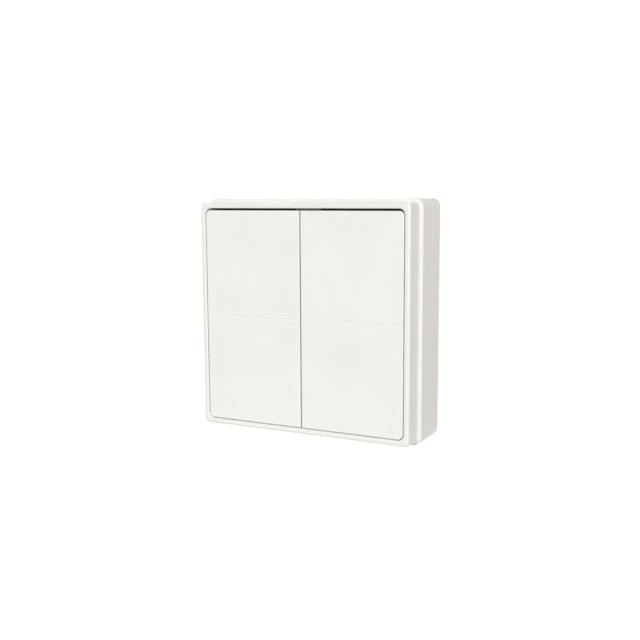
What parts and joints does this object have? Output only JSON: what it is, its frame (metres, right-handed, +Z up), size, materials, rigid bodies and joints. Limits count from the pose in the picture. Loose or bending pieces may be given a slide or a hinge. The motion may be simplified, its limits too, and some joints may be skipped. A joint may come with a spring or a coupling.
{
  "type": "wireless wall switch",
  "caption": "Square surface-mounted wireless wall switch with two tall centre-return rockers in a thin frame on a deeper back box.",
  "frame": {"origin": "centre of the rear wall face", "axes": "+Z up, -Y out of the front, +X to the right seen from the front"},
  "size_m": [0.086, 0.026, 0.086],
  "materials": {
    "housing_white": "fine satin moulded",
    "frame_white": "satin moulded",
    "rocker_white": "satin moulded",
    "chassis_dark": "fine texture",
    "foam_tape": "foam",
    "board_green": "solder resist",
    "tinned_steel": "satin",
    "chip_black": "fine texture",
    "led_lens": "clear",
    "capacitor_ceramic": "matte",
    "copper_wire": "bright",
    "cell_steel": "satin",
    "spring_metal": "bright drawn",
    "screw_zinc": "zinc plated",
    "axle_steel": "ground",
    "plunger_acetal": "smooth",
    "button_black": "smooth"
  },
  "bodies": {
    "housing": {"rear_tray": "housing_white", "tape_pads": "foam_tape", "surface_box": "housing_white", "front_frame": "frame_white", "chassis": "chassis_dark", "circuit_board": "board_green", "radio_board": "board_green", "shield_can": "tinned_steel", "controller_chip": "chip_black", "crystal": "tinned_steel", "status_led": "led_lens", "capacitors": "capacitor_ceramic", "antenna_coil": "copper_wire", "battery_holder": "chip_black", "coin_cell": "cell_steel", "battery_contact_plate": "spring_metal", "battery_clip": "spring_metal", "case_screws": "screw_zinc", "chassis_screws": "screw_zinc", "board_screws": "screw_zinc", "axle_left": "axle_steel", "axle_right": "axle_steel", "spring_lower_left": "spring_metal", "tact_base_lower_left": "chip_black", "spring_upper_left": "spring_metal", "tact_base_upper_left": "chip_black", "spring_lower_right": "spring_metal", "tact_base_lower_right": "chip_black", "spring_upper_right": "spring_metal", "tact_base_upper_right": "chip_black"},
    "rocker_left": {"rocker_left": "rocker_white"},
    "rocker_right": {"rocker_right": "rocker_white"},
    "plunger_lower_left": {"plunger_lower_left": "plunger_acetal"},
    "plunger_upper_left": {"plunger_upper_left": "plunger_acetal"},
    "plunger_lower_right": {"plunger_lower_right": "plunger_acetal"},
    "plunger_upper_right": {"plunger_upper_right": "plunger_acetal"},
    "tact_button_lower_left": {"tact_button_lower_left": "button_black"},
    "tact_button_upper_left": {"tact_button_upper_left": "button_black"},
    "tact_button_lower_right": {"tact_button_lower_right": "button_black"},
    "tact_button_upper_right": {"tact_button_upper_right": "button_black"}
  },
  "joints": [
    {"name": "rocker_left_tilt", "type": "hinge", "parent": "housing", "child": "rocker_left", "pos_m": [-0.01966, -0.0216, 0], "axis": [1, 0, 0], "range_deg": [-2, 2], "stiffness_Nm_per_rad": 1.2},
    {"name": "rocker_right_tilt", "type": "hinge", "parent": "housing", "child": "rocker_right", "pos_m": [0.01966, -0.0216, 0], "axis": [1, 0, 0], "range_deg": [-2, 2], "stiffness_Nm_per_rad": 1.2},
    {"name": "plunger_lower_left_slide", "type": "slide", "parent": "housing", "child": "plunger_lower_left", "axis": [0, 1, 0], "range_m": [-0.00098, 0.00098], "deforming": ["spring_lower_left"]},
    {"name": "plunger_upper_left_slide", "type": "slide", "parent": "housing", "child": "plunger_upper_left", "axis": [0, 1, 0], "range_m": [-0.00098, 0.00098], "deforming": ["spring_upper_left"]},
    {"name": "plunger_lower_right_slide", "type": "slide", "parent": "housing", "child": "plunger_lower_right", "axis": [0, 1, 0], "range_m": [-0.00098, 0.00098], "deforming": ["spring_lower_right"]},
    {"name": "plunger_upper_right_slide", "type": "slide", "parent": "housing", "child": "plunger_upper_right", "axis": [0, 1, 0], "range_m": [-0.00098, 0.00098], "deforming": ["spring_upper_right"]},
    {"name": "tact_button_lower_left_press", "type": "slide", "parent": "housing", "child": "tact_button_lower_left", "axis": [0, 1, 0], "range_m": [0, 0.00025], "stiffness_N_per_m": 400},
    {"name": "tact_button_upper_left_press", "type": "slide", "parent": "housing", "child": "tact_button_upper_left", "axis": [0, 1, 0], "range_m": [0, 0.00025], "stiffness_N_per_m": 400},
    {"name": "tact_button_lower_right_press", "type": "slide", "parent": "housing", "child": "tact_button_lower_right", "axis": [0, 1, 0], "range_m": [0, 0.00025], "stiffness_N_per_m": 400},
    {"name": "tact_button_upper_right_press", "type": "slide", "parent": "housing", "child": "tact_button_upper_right", "axis": [0, 1, 0], "range_m": [0, 0.00025], "stiffness_N_per_m": 400}
  ],
  "couplings": [
    {"joint": "plunger_lower_left_slide", "follows": "rocker_left_tilt", "m_per_rad": 0.028},
    {"joint": "plunger_upper_left_slide", "follows": "rocker_left_tilt", "m_per_rad": -0.028},
    {"joint": "plunger_lower_right_slide", "follows": "rocker_right_tilt", "m_per_rad": 0.028},
    {"joint": "plunger_upper_right_slide", "follows": "rocker_right_tilt", "m_per_rad": -0.028}
  ]
}
